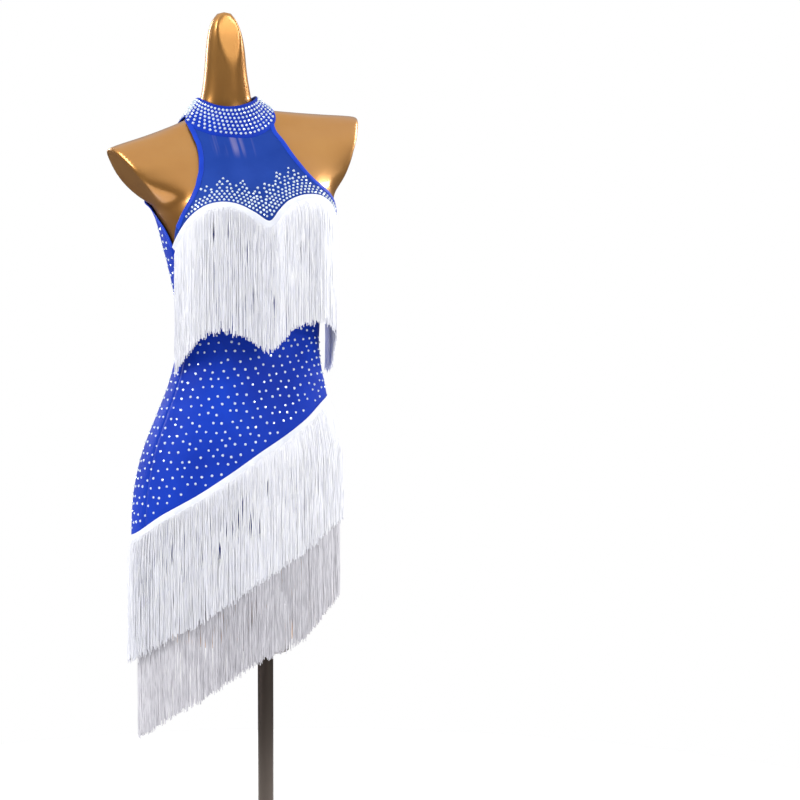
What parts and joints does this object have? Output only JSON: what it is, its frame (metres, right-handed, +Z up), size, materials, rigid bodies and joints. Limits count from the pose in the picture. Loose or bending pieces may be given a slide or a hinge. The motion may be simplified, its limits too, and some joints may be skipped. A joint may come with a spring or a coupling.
{
  "type": "latin dance dress on a dress form",
  "caption": "Sleeveless latin dance dress with a stand collar, keyhole back and slanted tiers of fringe, worn by a limbless dress form on a pole with a round foot.",
  "frame": {"origin": "centre of the round foot's underside, on the pole's axis, at the floor", "axes": "+Z up the pole; the form faces -Y and its left side is +X"},
  "size_m": [0.4082, 0.34, 1.51],
  "materials": {
    "blue_stretch": "royal blue stretch knit with a soft sheen, set with small clear stones",
    "sheer_mesh": "fine blue power mesh, slightly see-through",
    "white_fringe": "cool white chainette fringe in fine twisted threads",
    "white_tape": "white satin tape and flat elastic strap",
    "stones": "clear faceted flat-back stones with silver foil behind them",
    "form_shell": "glossy bronze-gold lacquer on a moulded form",
    "dark_steel": "dark gunmetal steel with a satin polish"
  },
  "bodies": {
    "root": {"form_torso": "form_shell", "foot_plate": "dark_steel", "foot_hub": "dark_steel", "pole": "dark_steel", "pole_socket": "dark_steel", "front_body": "blue_stretch", "yoke": "sheer_mesh", "back_body": "blue_stretch", "collar": "blue_stretch", "collar_tab": "blue_stretch", "binding_front_left": "blue_stretch", "binding_front_right": "blue_stretch", "binding_back_left": "blue_stretch", "binding_back_right": "blue_stretch", "binding_opening": "blue_stretch", "tape_bust": "white_tape", "tape_hip_upper": "white_tape", "tape_hip_lower": "white_tape", "fringe_bust": "white_fringe", "fringe_hip_upper": "white_fringe", "fringe_hip_lower": "white_fringe", "strap_left": "white_tape", "strap_middle": "white_tape", "strap_right": "white_tape"}
  },
  "joints": []
}
